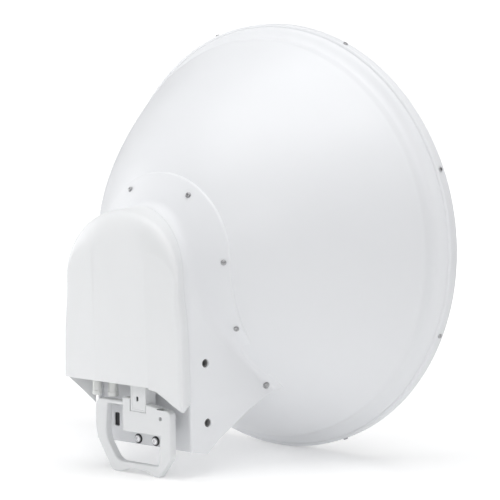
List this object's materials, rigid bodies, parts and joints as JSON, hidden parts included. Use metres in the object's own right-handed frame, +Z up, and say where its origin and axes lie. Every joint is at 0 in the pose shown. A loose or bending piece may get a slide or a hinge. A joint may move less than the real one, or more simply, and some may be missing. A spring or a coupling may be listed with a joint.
{
  "type": "microwave dish antenna",
  "caption": "Deep-dish microwave link antenna with a flat radome, rear hub, radio hood, port bay and carry handle, leaning back on its rim and handle.",
  "frame": {"origin": "centre of the bounding box's bottom, on the floor under the antenna", "axes": "+Z up, +Y forwards out through the radome, +X to the right seen from behind; the boresight points 1.9 degrees above +Y"},
  "size_m": [0.65, 0.4262, 0.6501],
  "materials": {
    "dish_paint": "satin",
    "radome_plastic": "matt",
    "hub_paint": "satin",
    "cover_plastic": "satin",
    "handle_plastic": "satin",
    "radio_metal": "cast, unpainted",
    "gland_metal": "plated",
    "screw_steel": "stainless",
    "bolt_steel": "stainless"
  },
  "bodies": {
    "root": {"reflector": "dish_paint", "radome": "radome_plastic", "rim_screw_1": "screw_steel", "rim_screw_2": "screw_steel", "rim_screw_3": "screw_steel", "rim_screw_4": "screw_steel", "rim_screw_5": "screw_steel", "rim_screw_6": "screw_steel", "rim_screw_7": "screw_steel", "rim_screw_8": "screw_steel", "hub": "hub_paint", "hub_screw_crest_right": "screw_steel", "hub_screw_crest_left": "screw_steel", "hub_screw_waist_right": "screw_steel", "hub_screw_waist_left": "screw_steel", "hub_screw_flank_right": "screw_steel", "hub_screw_flank_left": "screw_steel", "hub_screw_foot_right": "screw_steel", "hub_screw_foot_left": "screw_steel", "radio_cover": "cover_plastic", "radio_body": "radio_metal", "gland_small": "gland_metal", "gland_large": "gland_metal", "port_block": "radio_metal", "handle": "handle_plastic", "handle_bolt_right": "bolt_steel", "handle_bolt_left": "bolt_steel"}
  },
  "joints": []
}
